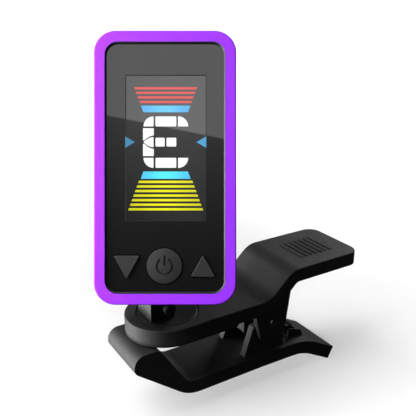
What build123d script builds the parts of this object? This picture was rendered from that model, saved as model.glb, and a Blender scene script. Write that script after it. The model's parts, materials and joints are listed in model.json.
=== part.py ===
from build123d import *
import math
import os

# Clip-on tuner: a display head on a ball joint, a turntable and a sprung clip.
# Millimetres. The origin is the middle of the rubber jaw face, under the turntable's axis.
# +X runs along the clip to the thumb end and +Z goes up.

# Upper arm
ARM_HALF_WIDTH = 9.1
NOSE_REACH = 9.7
PAD_THICK = 0.82
ARM_THICK = 3.33
ARM_TOP = PAD_THICK + ARM_THICK
ARM_EDGE = 0.25
THUMB_RISE = 6.05
THUMB_END_X = 49.8
RAMP_MID_X = 25.32
RAMP_ANGLE = 43.0
RAMP_LOW_RADIUS = 6.3
RAMP_HIGH_RADIUS = 5.4
THUMB_CORNER = 3.2
GRIP_RIDGES = 7
GRIP_PITCH = 1.5
GRIP_MID_X = 39.6
GRIP_LENGTH = 9.0
GRIP_WIDTH = 0.6
GRIP_HEIGHT = 0.25
BURY = 0.05

# Jaw pad
PAD_LENGTH = 14.0
PAD_CORNER = 1.5
PAD_EDGE = 0.3
PEG_PLACES = ((11.0, -5.0), (11.0, 5.0))
PEG_RADIUS = 1.2
PEG_LENGTH = 1.0
PEG_CLEAR = 0.05
WASHER_POCKET_RADIUS = 4.3
WASHER_POCKET_DEPTH = 0.6
PAD_RECESS_RADIUS = 3.0
PAD_RECESS_DEPTH = 0.45

# Clip hinge
PIN_X = 24.5
PIN_Z = -3.5
PIN_RADIUS = 1.0
CHEEK_INSIDE = 5.75
CHEEK_THICK = 1.6
CHEEK_FRONT_CORNER = (20.95, -7.1)
CHEEK_BACK_CORNER = (27.5, -7.35)
CHEEK_FRONT_ROUND = 0.8
CHEEK_BACK_ROUND = 1.6
WALL_FRONT_X = 18.9
WALL_BACK_X = 21.1
WALL_LOW = -7.0
WALL_TOP = 1.5
WALL_HALF_WIDTH = 3.3
WALL_ROUND = 1.05
EAR_INSIDE = 3.9
EAR_THICK = 1.7
EAR_EYE_RADIUS = 2.8
RUNNING_GAP = 0.05
PRESS_GAP = 0.01
PIN_PROUD = 0.15

# Torsion spring
WIRE_RADIUS = 0.45
COIL_RADIUS = 2.0
COIL_PITCH = 0.92
COIL_START = 40.0
COIL_TURN = 4 * 360 + 277.0
UPPER_LEG = 14.6
LOWER_LEG = 10.6

# Lower arm
FLOOR_TOP = -11.6
FLOOR_THICK = 3.4
LIP_X = -11.75
LIP_TOP = -0.7
LIP_LOW = -4.55
LIP_INNER_X = -5.73
FLOOR_START_X = 1.3
FLOOR_CORNER_X = 1.4
HANDLE_START_X = 31.5
HANDLE_RADIUS = 15.0
HANDLE_ANGLE = 28.5
HANDLE_END_X = 44.75
LOWER_HALF_WIDTH = 6.95
HANDLE_HALF_WIDTH = 7.5
FLARE_START_X = 22.0
LIP_TOP_ROUND = 2.6
LIP_LOW_ROUND = 1.8
LIP_INNER_ROUND = 1.0
BEND_INSIDE_ROUND = 3.5
BEND_OUTSIDE_ROUND = 9.0
RIB_HALF_WIDTH = 4.0
SPRING_NOTCH_AT = (32.8, -9.5)
SPRING_NOTCH_SIZE = (4.0, 3.4)
SPRING_NOTCH_NEAR = -3.7
SPRING_NOTCH_WIDTH = 1.5

# Turntable and ball clamp
DISC_RADIUS = 6.95
DISC_GAP = 0.15
DISC_THICK = 1.4
DISC_EDGE = (0.4, 0.3)
DISC_BELOW_ARM = 0.1
SPIGOT_RADIUS = 2.4
BALL_X = 0.75
BALL_LIFT = 7.0
BALL_RADIUS = 2.4
SOCKET_GAP = 0.12
CUP_RADIUS = 3.5
BLOCK_LEFT = -5.5
BLOCK_RIGHT = 0.25
BLOCK_NEAR = -2.9
BLOCK_FAR = 3.4
BLOCK_HEIGHT = 4.2
WRAP_WALL = 1.0
WRAP_GAP = 0.2
SPLIT_GAP = 0.3
CLAMP_SCREW_X = -1.5
CLAMP_SCREW_LIFT = 2.45

SEAT_LIFT = 0.05
DISH_DEPTH = 0.45
OPEN_MID = 13.4
OPEN_HALF = 48.0
CLAMP_SCREW_RADIUS = 0.95
SCREW_HEAD_RADIUS = 1.5
SCREW_HEAD = 1.7
NUT_FLAT = 3.8
NUT_THICK = 1.3
SLOT_LONG = 1.7
SLOT_WIDE = 0.4
SLOT_DEEP = 0.8
WASHER_RADIUS = 3.9
WASHER_THICK = 0.35
RETAINER_RADIUS = 0.78
RETAINER_LENGTH = 2.3
RETAINER_HEAD_RADIUS = 1.8
RETAINER_HEAD = 0.45
RETAINER_SLOT = 2.2
STEM_RADIUS = 1.1
SHANK_RADIUS = 1.5
SHANK_LENGTH = 6.0
PIN_UP = 3.3
COLLAR_RADIUS = 1.8
COLLAR_LOW = 3.1
GROOVE_DEPTH = 0.5
GROOVE_WIDTH = 1.0

# Display head
FACE_TURN = 58.0
FACE_LEAN = 20.4
HEAD_WIDTH = 28.2
HEAD_HEIGHT = 54.25
HEAD_DEPTH = 9.6
HEAD_CORNER = 4.3
FRONT_ROUND = 0.3
BALL_STANDOFF = 4.78
BALL_ABOVE_BASE = 3.12
SEAM_LEVEL = 3.4
WALL = 1.1
WINDOW_WIDTH = 23.95
WINDOW_HEIGHT = 49.9
WINDOW_CORNER = 2.6
TRIM_WALL = 0.3
TRIM_BEVEL = 0.24
TRIM_BELOW_FRONT = 0.06
TRIM_CLEAR = 0.02
LENS_TOP = 8.9
LENS_THICK = 1.6
BOARD_LEVEL = 4.7
BOARD_THICK = 0.8
POST_SIZE = 3.7
CELL_RADIUS = 10.0
CELL_THICK = 3.2
DOOR_RADIUS = 10.5
DOOR_UP = 6.0
KEY_TRAVEL = 0.4
KEY_TOP = 9.45
KEY_GAP = 0.18
LUG_HALF_WIDTH = 4.0
LUG_CLEAR = 3.7
LUG_BEHIND = 2.7
SIDE_WALL = 1.2
BACK_ROUND = 2.0
POST_TOP = 4.6
POST_BITE = 0.2
BOARD_NOTCH = 0.75
SCREW_W = 10.7
SCREW_U = 23.8
SCREW_RADIUS = 0.7
SCREW_END = 6.4
CASE_HEAD_RADIUS = 1.35
CASE_HEAD = 0.9
STUD_PIN_RADIUS = 0.4
LUG_ARC = 20.0
LUG_REACH = 11.3
DOOR_TURN = 45.0
KEY_UP = -19.48
POWER_ACROSS = -0.12
DOWN_KEY = {"across": -7.6, "up": -19.75, "height": 4.7, "base": 5.25, "way": -1}
UP_KEY = {"across": 7.55, "up": -19.4, "height": 4.45, "base": 4.95, "way": 1}
KEY_CORNER = 0.2
KEY_FLANGE = 0.5
KEY_FLANGE_THICK = 0.55
KEY_EDGE = 0.14
POWER_RADIUS = 3.52
POWER_CROWN_RADIUS = 21.0
SYMBOL_RADIUS = 1.72
SYMBOL_LINE = 0.38
SYMBOL_GAP = 1.5
SYMBOL_DEPTH = 0.4
PLUNGER_RADIUS = 1.1
PLUNGER_FOOT = 6.42
DISPLAY_ACROSS = 0.1
DISPLAY_UP = 3.85
DOME_HEIGHT = 0.42
DOME_RADIUS = 2.0
PIEZO_UP = -14.0
PIEZO_DISC_RADIUS = 5.0
PIEZO_CRYSTAL_RADIUS = 3.6
PIEZO_THICK = 0.2
DISPLAY_SIZE = (19.4, 33.2)
BACKLIGHT_SIZE = (19.0, 32.8)
DISPLAY_FRAME_SIZE = (22.6, 35.2)
DISPLAY_FRAME_HOLE = (19.7, 33.5)
BACKLIGHT_THICK = 0.6
LAYER_GAP = 0.05
CHIPS = (((3.5, -15.5), (6.0, 6.0)), ((-4.5, -13.5), (3.2, 1.6)), ((-4.5, -17.0), (2.0, 1.2)))
CHIP_HEIGHT = 0.9
CONTACT_THICK = 0.15
CONTACT_SIZE = (12.0, 3.0)
RIM_CONTACT_THICK = 0.3
RIM_CONTACT_DEPTH = 2.4
RIM_CONTACT_CUT = 3.5

turn, lean = math.radians(FACE_TURN), math.radians(FACE_LEAN)
ACROSS = Vector(math.sin(turn), -math.cos(turn), 0)
UP = Vector(math.sin(lean) * math.cos(turn), math.sin(lean) * math.sin(turn), math.cos(lean))
OUT = Vector(-math.cos(lean) * math.cos(turn), -math.cos(lean) * math.sin(turn), math.sin(lean))
AWAY = Vector(math.cos(turn), math.sin(turn), 0)
BALL = Vector(BALL_X, 0, ARM_TOP + BALL_LIFT)
BACK_CENTRE = BALL + OUT * BALL_STANDOFF + UP * (HEAD_HEIGHT / 2 - BALL_ABOVE_BASE)
HEAD = Plane(origin=BACK_CENTRE, x_dir=ACROSS, z_dir=OUT)
BALL_UP = BALL_ABOVE_BASE - HEAD_HEIGHT / 2
finished = []


def finish(piece, label):
    """Label one finished piece and keep it for export."""
    piece.part.label = label
    finished.append(piece)


def level(height):
    """Plane parallel to the head's back, a height in front of it."""
    return HEAD.offset(height)


def side(y):
    """Plane whose x is +X and whose y is +Z, at a distance along Y."""
    return Plane.XZ.offset(-y)


def round_corner(sketch, x, y, radius):
    """Fillet the sketch corner nearest to a point."""
    fillet(sketch.vertices().sort_by_distance((x, y, 0))[0], radius)


# ---------------------------------------------------------------- upper arm
slope = math.radians(RAMP_ANGLE)
thumb_top = ARM_TOP + THUMB_RISE
ramp_foot_x = RAMP_MID_X - THUMB_RISE / 2 / math.tan(slope)
ramp_head_x = RAMP_MID_X + THUMB_RISE / 2 / math.tan(slope)


def arm_profile(x0, x1, top, bottom):
    """The arm's S-shaped side profile between two heights of its flat front part."""
    shift_top = (ARM_TOP - top) * math.tan(slope / 2)
    shift_low = (ARM_TOP - bottom) * math.tan(slope / 2)
    with BuildSketch(side(0)) as profile:
        with BuildLine():
            Polyline(
                (x0, top),
                (ramp_foot_x + shift_top, top),
                (ramp_head_x + shift_top, top + THUMB_RISE),
                (x1, top + THUMB_RISE),
                (x1, bottom + THUMB_RISE),
                (ramp_head_x + shift_low, bottom + THUMB_RISE),
                (ramp_foot_x + shift_low, bottom),
                (x0, bottom),
                close=True,
            )
        make_face()
        depth = top - bottom
        round_corner(profile, ramp_foot_x + shift_top, top, RAMP_LOW_RADIUS)
        round_corner(profile, ramp_head_x + shift_top, top + THUMB_RISE, RAMP_HIGH_RADIUS)
        round_corner(profile, ramp_foot_x + shift_low, bottom, RAMP_LOW_RADIUS + depth)
        round_corner(profile, ramp_head_x + shift_low, bottom + THUMB_RISE, RAMP_HIGH_RADIUS - depth)
    return profile.sketch


with BuildPart() as upper_arm:
    extrude(arm_profile(-NOSE_REACH, THUMB_END_X, ARM_TOP, PAD_THICK), amount=ARM_HALF_WIDTH, both=True)
    with BuildSketch(Plane.XY.offset(-1)) as plan:
        Ellipse(NOSE_REACH, ARM_HALF_WIDTH)
        with Locations((THUMB_END_X / 2, 0)):
            Rectangle(THUMB_END_X, 2 * ARM_HALF_WIDTH)
        round_corner(plan, THUMB_END_X, ARM_HALF_WIDTH, THUMB_CORNER)
        round_corner(plan, THUMB_END_X, -ARM_HALF_WIDTH, THUMB_CORNER)
    extrude(amount=thumb_top + 2, mode=Mode.INTERSECT)
    fillet(upper_arm.faces().sort_by(Axis.Z)[-1].edges(), ARM_EDGE)

    # cheeks that carry the hinge pin
    for y in (-CHEEK_INSIDE - CHEEK_THICK, CHEEK_INSIDE):
        with BuildSketch(side(y)) as cheek:
            with BuildLine():
                Polyline(
                    (19.2, PAD_THICK + 0.5),
                    CHEEK_FRONT_CORNER,
                    CHEEK_BACK_CORNER,
                    (28.4, -4.0),
                    (29.7, 5.5),
                    (31.0, 8.0),
                    (24.0, PAD_THICK + 1.5),
                    close=True,
                )
            make_face()
            round_corner(cheek, *CHEEK_FRONT_CORNER, CHEEK_FRONT_ROUND)
            round_corner(cheek, *CHEEK_BACK_CORNER, CHEEK_BACK_ROUND)
        extrude(amount=-CHEEK_THICK)
    # cross wall in front of the spring
    with BuildSketch(side(-WALL_HALF_WIDTH)) as wall:
        with BuildLine():
            Polyline(
                (WALL_FRONT_X, WALL_TOP),
                (WALL_FRONT_X, WALL_LOW),
                (WALL_BACK_X, WALL_LOW),
                (WALL_BACK_X, WALL_TOP),
                close=True,
            )
        make_face()
        round_corner(wall, WALL_FRONT_X, WALL_LOW, WALL_ROUND)
        round_corner(wall, WALL_BACK_X, WALL_LOW, WALL_ROUND)
    extrude(amount=-2 * WALL_HALF_WIDTH)

    # turntable seat, spigot hole and washer pocket
    seat_floor = ARM_TOP - DISC_THICK - 2 * DISC_BELOW_ARM
    with BuildSketch(Plane.XY.offset(seat_floor)):
        Circle(DISC_RADIUS + DISC_GAP)
    extrude(amount=ARM_THICK, mode=Mode.SUBTRACT)
    with BuildSketch(Plane.XY):
        Circle(SPIGOT_RADIUS + RUNNING_GAP)
    extrude(amount=ARM_TOP, mode=Mode.SUBTRACT)
    with BuildSketch(Plane.XY):
        Circle(WASHER_POCKET_RADIUS)
    extrude(amount=PAD_THICK + WASHER_POCKET_DEPTH, mode=Mode.SUBTRACT)
    # peg holes for the rubber pad
    with BuildSketch(Plane.XY.offset(PAD_THICK)):
        with Locations(*PEG_PLACES):
            Circle(PEG_RADIUS + PEG_CLEAR)
    extrude(amount=PEG_LENGTH + 4 * PEG_CLEAR, mode=Mode.SUBTRACT)
    # pin bore through both cheeks
    with BuildSketch(side(-ARM_HALF_WIDTH)):
        with Locations((PIN_X, PIN_Z)):
            Circle(PIN_RADIUS + PRESS_GAP)
    extrude(amount=-2 * ARM_HALF_WIDTH, mode=Mode.SUBTRACT)
    # straight grip ridges across the thumb pad
    with BuildSketch(Plane.XY.offset(thumb_top - BURY)):
        with Locations((GRIP_MID_X, 0)):
            with GridLocations(GRIP_PITCH, 1, GRIP_RIDGES, 1):
                SlotOverall(GRIP_LENGTH, GRIP_WIDTH, rotation=90)
    extrude(amount=GRIP_HEIGHT + BURY)
finish(upper_arm, "upper_arm")

with BuildPart() as jaw_pad:
    with BuildSketch(Plane.XY) as pad_plan:
        Ellipse(NOSE_REACH, ARM_HALF_WIDTH)
        with Locations((PAD_LENGTH / 2, 0)):
            Rectangle(PAD_LENGTH, 2 * ARM_HALF_WIDTH)
        round_corner(pad_plan, PAD_LENGTH, ARM_HALF_WIDTH, PAD_CORNER)
        round_corner(pad_plan, PAD_LENGTH, -ARM_HALF_WIDTH, PAD_CORNER)
    extrude(amount=PAD_THICK)
    fillet(jaw_pad.faces().sort_by(Axis.Z)[0].edges(), PAD_EDGE)
    with BuildSketch(Plane.XY.offset(PAD_THICK)):
        Circle(PAD_RECESS_RADIUS)
    extrude(amount=-PAD_RECESS_DEPTH, mode=Mode.SUBTRACT)
    with BuildSketch(Plane.XY.offset(PAD_THICK)):
        with Locations(*PEG_PLACES):
            Circle(PEG_RADIUS)
    extrude(amount=PEG_LENGTH)
finish(jaw_pad, "jaw_pad")

# ---------------------------------------------------------------- lower arm
handle = math.radians(HANDLE_ANGLE)
bend_end_x = HANDLE_START_X + HANDLE_RADIUS * math.sin(handle)
bend_drop = HANDLE_RADIUS * (1 - math.cos(handle))
tip_top_z = FLOOR_TOP - bend_drop - (HANDLE_END_X - bend_end_x) * math.tan(handle)
tip_low = (HANDLE_END_X - FLOOR_THICK * math.sin(handle), tip_top_z - FLOOR_THICK * math.cos(handle))
under_z = FLOOR_TOP - FLOOR_THICK
with BuildPart() as lower_arm:
    inner = HANDLE_RADIUS - FLOOR_THICK
    bend_low = (HANDLE_START_X + inner * math.sin(handle), under_z - inner * (1 - math.cos(handle)))
    with BuildSketch(side(0)) as spine:
        with BuildLine():
            Polyline((HANDLE_START_X, FLOOR_TOP), (FLOOR_START_X, FLOOR_TOP), (LIP_INNER_X, LIP_TOP))
            Polyline((LIP_INNER_X, LIP_TOP), (LIP_X, LIP_TOP), (LIP_X, LIP_LOW), (FLOOR_CORNER_X, under_z))
            Line((FLOOR_CORNER_X, under_z), (HANDLE_START_X, under_z))
            RadiusArc((HANDLE_START_X, under_z), bend_low, inner)
            Line(bend_low, tip_low)
            Line(tip_low, (HANDLE_END_X, tip_top_z))
            Line((HANDLE_END_X, tip_top_z), (bend_end_x, FLOOR_TOP - bend_drop))
            RadiusArc((bend_end_x, FLOOR_TOP - bend_drop), (HANDLE_START_X, FLOOR_TOP), -HANDLE_RADIUS)
        make_face()
        round_corner(spine, LIP_X, LIP_TOP, LIP_TOP_ROUND)
        round_corner(spine, LIP_X, LIP_LOW, LIP_LOW_ROUND)
        round_corner(spine, LIP_INNER_X, LIP_TOP, LIP_INNER_ROUND)
        round_corner(spine, FLOOR_START_X, FLOOR_TOP, BEND_INSIDE_ROUND)
        round_corner(spine, FLOOR_CORNER_X, under_z, BEND_OUTSIDE_ROUND)
    extrude(amount=HANDLE_HALF_WIDTH, both=True)
    # plan: straight front part, flaring to the handle's end
    with BuildSketch(Plane.XY.offset(tip_low[1] - 1)) as flare:
        with BuildLine():
            Polyline(
                (LIP_X - 1, -LOWER_HALF_WIDTH),
                (FLARE_START_X, -LOWER_HALF_WIDTH),
                (HANDLE_END_X - 2, -HANDLE_HALF_WIDTH),
                (HANDLE_END_X + 1, -HANDLE_HALF_WIDTH),
                (HANDLE_END_X + 1, HANDLE_HALF_WIDTH),
                (HANDLE_END_X - 2, HANDLE_HALF_WIDTH),
                (FLARE_START_X, LOWER_HALF_WIDTH),
                (LIP_X - 1, LOWER_HALF_WIDTH),
                close=True,
            )
        make_face()
    extrude(amount=LIP_TOP - tip_low[1] + 2, mode=Mode.INTERSECT)
    # ears that turn on the pin
    for y in (-EAR_INSIDE - EAR_THICK, EAR_INSIDE):
        with BuildSketch(side(y)):
            with BuildLine():
                Polyline(
                    (17.4, FLOOR_TOP - 0.5),
                    (19.95, -4.1),
                    (22.6, -1.6),
                    (26.2, -1.5),
                    (27.6, -4.3),
                    (29.5, FLOOR_TOP - 0.5),
                    close=True,
                )
            make_face()
            with Locations((PIN_X, PIN_Z)):
                Circle(EAR_EYE_RADIUS)
        extrude(amount=-EAR_THICK)
    # cross rib that holds the spring's lower leg
    with BuildSketch(side(-RIB_HALF_WIDTH)):
        with BuildLine():
            Polyline((32.0, -12.5), (32.2, -9.2), (36.2, -10.6), (37.6, -14.0), close=True)
        make_face()
    extrude(amount=-2 * RIB_HALF_WIDTH)
    with BuildSketch(side(SPRING_NOTCH_NEAR)):
        with Locations(SPRING_NOTCH_AT):
            Rectangle(*SPRING_NOTCH_SIZE)
    extrude(amount=-SPRING_NOTCH_WIDTH, mode=Mode.SUBTRACT)
    with BuildSketch(side(-ARM_HALF_WIDTH)):
        with Locations((PIN_X, PIN_Z)):
            Circle(PIN_RADIUS + RUNNING_GAP)
    extrude(amount=-2 * ARM_HALF_WIDTH, mode=Mode.SUBTRACT)
finish(lower_arm, "lower_arm")

with BuildPart() as hinge_pin:
    pin_half = CHEEK_INSIDE + CHEEK_THICK + PIN_PROUD
    with BuildSketch(side(-pin_half)):
        with Locations((PIN_X, PIN_Z)):
            Circle(PIN_RADIUS)
    extrude(amount=-2 * pin_half)
    chamfer(hinge_pin.edges().filter_by(GeomType.CIRCLE), PIN_PROUD)
finish(hinge_pin, "hinge_pin")

# ---------------------------------------------------------------- torsion spring
# The coil starts behind the pin, runs towards the near ear and leaves both legs pointing back.
coil_length = COIL_PITCH * COIL_TURN / 360
coil_start = math.radians(COIL_START)
coil_plane = Plane(
    origin=(PIN_X, coil_length / 2, PIN_Z),
    x_dir=(math.cos(coil_start), 0, -math.sin(coil_start)),
    z_dir=(0, -1, 0),
)
with BuildLine() as coil:
    Helix(pitch=COIL_PITCH, height=coil_length, radius=COIL_RADIUS, lefthand=True)
coil_path = coil_plane.from_local_coords(coil.line)
with BuildPart() as torsion_spring:
    with BuildSketch(Plane(origin=coil_path @ 0, z_dir=coil_path % 0)):
        Circle(WIRE_RADIUS)
    sweep(path=coil_path)
    for end, heading, length in ((0, -1, UPPER_LEG), (1, 1, LOWER_LEG)):
        with BuildSketch(Plane(origin=coil_path @ end, z_dir=(coil_path % end) * heading)):
            Circle(WIRE_RADIUS)
        extrude(amount=length)
        with Locations(coil_path @ end):
            Sphere(WIRE_RADIUS)
finish(torsion_spring, "torsion_spring")

# ---------------------------------------------------------------- turntable and clamp
disc_low = ARM_TOP - DISC_THICK - DISC_BELOW_ARM
disc_rim = ARM_TOP - DISC_BELOW_ARM
spigot_end = PAD_THICK + 0.55
socket_radius = BALL_RADIUS + SOCKET_GAP
open_axis = Vector(0, 0, 1) * math.cos(math.radians(OPEN_MID)) + AWAY * math.sin(math.radians(OPEN_MID))
screw_z = ARM_TOP + CLAMP_SCREW_LIFT


def clamp_outline(left, plane):
    """Side outline of the clamp block, from the disc to the ball."""
    with BuildSketch(plane) as outline:
        with BuildLine():
            Polyline(
                (left, ARM_TOP + SEAT_LIFT),
                (left, ARM_TOP + BLOCK_HEIGHT),
                (BALL.X - 3.3, BALL.Z - 0.6),
                (BALL.X, BALL.Z),
                (BALL.X + 2.4, BALL.Z - 2.4),
                (BLOCK_RIGHT, ARM_TOP + 1.9),
                (BLOCK_RIGHT, ARM_TOP + SEAT_LIFT),
                close=True,
            )
        make_face()
    return outline.sketch


def cut_socket():
    """Cut the ball's seat and the cone that the stud swings in."""
    with Locations(BALL):
        Sphere(socket_radius, mode=Mode.SUBTRACT)
    with BuildSketch(Plane(origin=BALL, x_dir=ACROSS, z_dir=open_axis)) as tip:
        Circle(0.05)
    extrude(tip.sketch, amount=2 * CUP_RADIUS, taper=-OPEN_HALF, mode=Mode.SUBTRACT)


def hole_y(x, z, radius, y_low, y_high):
    """Drill a round hole along Y between two y values."""
    with BuildSketch(side(y_low)) as mouth:
        with Locations((x, z)):
            Circle(radius)
    extrude(mouth.sketch, amount=y_low - y_high, mode=Mode.SUBTRACT)


with BuildPart() as turntable:
    with Locations(BALL):
        Sphere(CUP_RADIUS)
    split(bisect_by=side(SPLIT_GAP / 2), keep=Keep.BOTTOM)
    far_left = BLOCK_LEFT + WRAP_WALL + WRAP_GAP
    extrude(clamp_outline(far_left, side(SPLIT_GAP / 2)), amount=SPLIT_GAP / 2 - BLOCK_FAR)
    # footing that fills the dish under the whole block
    with BuildSketch(Plane.XY.offset(disc_low)):
        with Locations(((BLOCK_LEFT + BLOCK_RIGHT) / 2, (BLOCK_NEAR + BLOCK_FAR) / 2)):
            Rectangle(BLOCK_RIGHT - BLOCK_LEFT, BLOCK_FAR - BLOCK_NEAR)
    extrude(amount=ARM_TOP - disc_low)
    with BuildSketch(Plane.XY.offset(disc_low)):
        with Locations(((far_left + BLOCK_RIGHT) / 2, (BLOCK_FAR + SPLIT_GAP / 2) / 2)):
            Rectangle(BLOCK_RIGHT - far_left, BLOCK_FAR - SPLIT_GAP / 2)
    extrude(amount=ARM_TOP + SEAT_LIFT - disc_low)
    with BuildSketch(Plane.XZ):
        with BuildLine():
            Polyline(
                (0, disc_rim - DISH_DEPTH),
                (0, spigot_end),
                (SPIGOT_RADIUS, spigot_end),
                (SPIGOT_RADIUS, disc_low),
                (DISC_RADIUS, disc_low),
                (DISC_RADIUS, disc_rim - DISC_EDGE[1]),
                (DISC_RADIUS - DISC_EDGE[0], disc_rim),
            )
            ThreePointArc(
                (DISC_RADIUS - DISC_EDGE[0], disc_rim),
                (DISC_RADIUS / 2, disc_rim - 0.7 * DISH_DEPTH),
                (0, disc_rim - DISH_DEPTH),
            )
        make_face()
    revolve(axis=Axis.Z)
    cut_socket()
    hole_y(CLAMP_SCREW_X, screw_z, CLAMP_SCREW_RADIUS + 0.05, 0, BLOCK_FAR + 1)
    with BuildSketch(side(BLOCK_FAR - NUT_THICK)):
        with Locations((CLAMP_SCREW_X, screw_z)):
            RegularPolygon(NUT_FLAT / 2 + 0.05, 6, major_radius=False)
    extrude(amount=-3.0, mode=Mode.SUBTRACT)
    with BuildSketch(Plane.XY.offset(spigot_end)):
        Circle(RETAINER_RADIUS + 2 * PRESS_GAP)
    extrude(amount=RETAINER_LENGTH - 0.2, mode=Mode.SUBTRACT)
finish(turntable, "turntable")

with BuildPart() as clamp_jaw:
    with Locations(BALL):
        Sphere(CUP_RADIUS)
    split(bisect_by=side(-SPLIT_GAP / 2), keep=Keep.TOP)
    extrude(clamp_outline(BLOCK_LEFT, side(-SPLIT_GAP / 2)), amount=-SPLIT_GAP / 2 - BLOCK_NEAR)
    with BuildSketch(Plane.XY.offset(ARM_TOP + SEAT_LIFT)):
        with Locations((BLOCK_LEFT + WRAP_WALL / 2, (BLOCK_FAR - SPLIT_GAP) / 2)):
            Rectangle(WRAP_WALL, BLOCK_FAR + SPLIT_GAP)
    extrude(amount=BLOCK_HEIGHT - SEAT_LIFT)
    cut_socket()
    hole_y(CLAMP_SCREW_X, screw_z, CLAMP_SCREW_RADIUS + 0.1, BLOCK_NEAR - 1, 0)
finish(clamp_jaw, "clamp_jaw")

with BuildPart() as clamp_screw:
    with BuildSketch(side(BLOCK_NEAR)):
        with Locations((CLAMP_SCREW_X, screw_z)):
            Circle(SCREW_HEAD_RADIUS)
    extrude(amount=SCREW_HEAD)
    chamfer(clamp_screw.edges().sort_by(Axis.Y)[0], 0.25)
    with BuildSketch(side(BLOCK_NEAR)):
        with Locations((CLAMP_SCREW_X, screw_z)):
            Circle(CLAMP_SCREW_RADIUS)
    extrude(amount=BLOCK_NEAR - BLOCK_FAR + 0.3)
    with BuildSketch(side(BLOCK_NEAR - SCREW_HEAD)):
        with Locations((CLAMP_SCREW_X, screw_z)):
            Rectangle(SLOT_LONG, SLOT_WIDE)
            Rectangle(SLOT_WIDE, SLOT_LONG)
    extrude(amount=-SLOT_DEEP, mode=Mode.SUBTRACT)
finish(clamp_screw, "clamp_screw")

with BuildPart() as clamp_nut:
    with BuildSketch(side(BLOCK_FAR - NUT_THICK)):
        with Locations((CLAMP_SCREW_X, screw_z)):
            RegularPolygon(NUT_FLAT / 2, 6, major_radius=False)
            Circle(CLAMP_SCREW_RADIUS + 0.02, mode=Mode.SUBTRACT)
    extrude(amount=-NUT_THICK)
finish(clamp_nut, "clamp_nut")

with BuildPart() as retaining_washer:
    with BuildSketch(Plane.XY.offset(spigot_end)):
        Circle(WASHER_RADIUS)
        Circle(RETAINER_RADIUS + RUNNING_GAP, mode=Mode.SUBTRACT)
    extrude(amount=-WASHER_THICK)
finish(retaining_washer, "retaining_washer")

with BuildPart() as retaining_screw:
    under_washer = Plane.XY.offset(spigot_end - WASHER_THICK)
    with BuildSketch(under_washer):
        Circle(RETAINER_HEAD_RADIUS)
    extrude(amount=-RETAINER_HEAD)
    with BuildSketch(under_washer):
        Circle(RETAINER_RADIUS)
    extrude(amount=RETAINER_LENGTH)
    with BuildSketch(under_washer.offset(-RETAINER_HEAD)):
        Rectangle(RETAINER_SLOT, SLOT_WIDE)
        Rectangle(SLOT_WIDE, RETAINER_SLOT)
    extrude(amount=RETAINER_HEAD / 2, mode=Mode.SUBTRACT)
finish(retaining_screw, "retaining_screw")

# ---------------------------------------------------------------- ball stud
lug_foot = BALL_UP + LUG_CLEAR
stud_plane = Plane(origin=BALL, x_dir=ACROSS, z_dir=UP)
with BuildPart() as ball_stud:
    with Locations(BALL):
        Sphere(BALL_RADIUS)
    for radius, low, high in (
        (STEM_RADIUS, 0, LUG_CLEAR + 1),
        (COLLAR_RADIUS, COLLAR_LOW, LUG_CLEAR - 0.05),
        (SHANK_RADIUS, LUG_CLEAR - 0.05, LUG_CLEAR + SHANK_LENGTH),
    ):
        with BuildSketch(stud_plane.offset(low)):
            Circle(radius)
        extrude(amount=high - low)
    with BuildSketch(stud_plane.offset(LUG_CLEAR + PIN_UP - GROOVE_WIDTH / 2)):
        Circle(SHANK_RADIUS + 1)
        Circle(SHANK_RADIUS - GROOVE_DEPTH, mode=Mode.SUBTRACT)
    extrude(amount=GROOVE_WIDTH, mode=Mode.SUBTRACT)
finish(ball_stud, "ball_stud")

# ---------------------------------------------------------------- head shells
inner_width = HEAD_WIDTH - 2 * SIDE_WALL
inner_height = HEAD_HEIGHT - 2 * SIDE_WALL
inner_corner = HEAD_CORNER - SIDE_WALL
out_axis = Axis(BACK_CENTRE, OUT)


def corner_patches(width, height, radius, size, plane):
    """The four corner areas of a rounded rectangle."""
    with BuildSketch(plane) as patches:
        RectangleRounded(width, height, radius)
        Rectangle(width - 2 * size, height, mode=Mode.SUBTRACT)
        Rectangle(width, height - 2 * size, mode=Mode.SUBTRACT)
    return patches.sketch


retaining_pin_plane = Plane(
    origin=BALL + UP * (LUG_CLEAR + PIN_UP) - OUT * SHANK_RADIUS + ACROSS * LUG_HALF_WIDTH, z_dir=ACROSS
)


def door_lugs(plane, arc, reach, turned):
    """Three bayonet lugs round the battery door, as one sketch."""
    span = 2 * reach * math.sin(math.radians(arc / 2))
    with BuildSketch(plane) as lugs:
        with Locations((0, DOOR_UP)):
            with PolarLocations(DOOR_RADIUS + 0.3, 3, start_angle=turned):
                Rectangle(2.4, span)
            Circle(reach, mode=Mode.INTERSECT)
            Circle(DOOR_RADIUS - 0.3, mode=Mode.SUBTRACT)
    return lugs.sketch


def window_outline(inset):
    """Draw the opening in the ring's front, made smaller by an inset all round."""
    RectangleRounded(WINDOW_WIDTH - 2 * inset, WINDOW_HEIGHT - 2 * inset, WINDOW_CORNER - inset)


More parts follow.
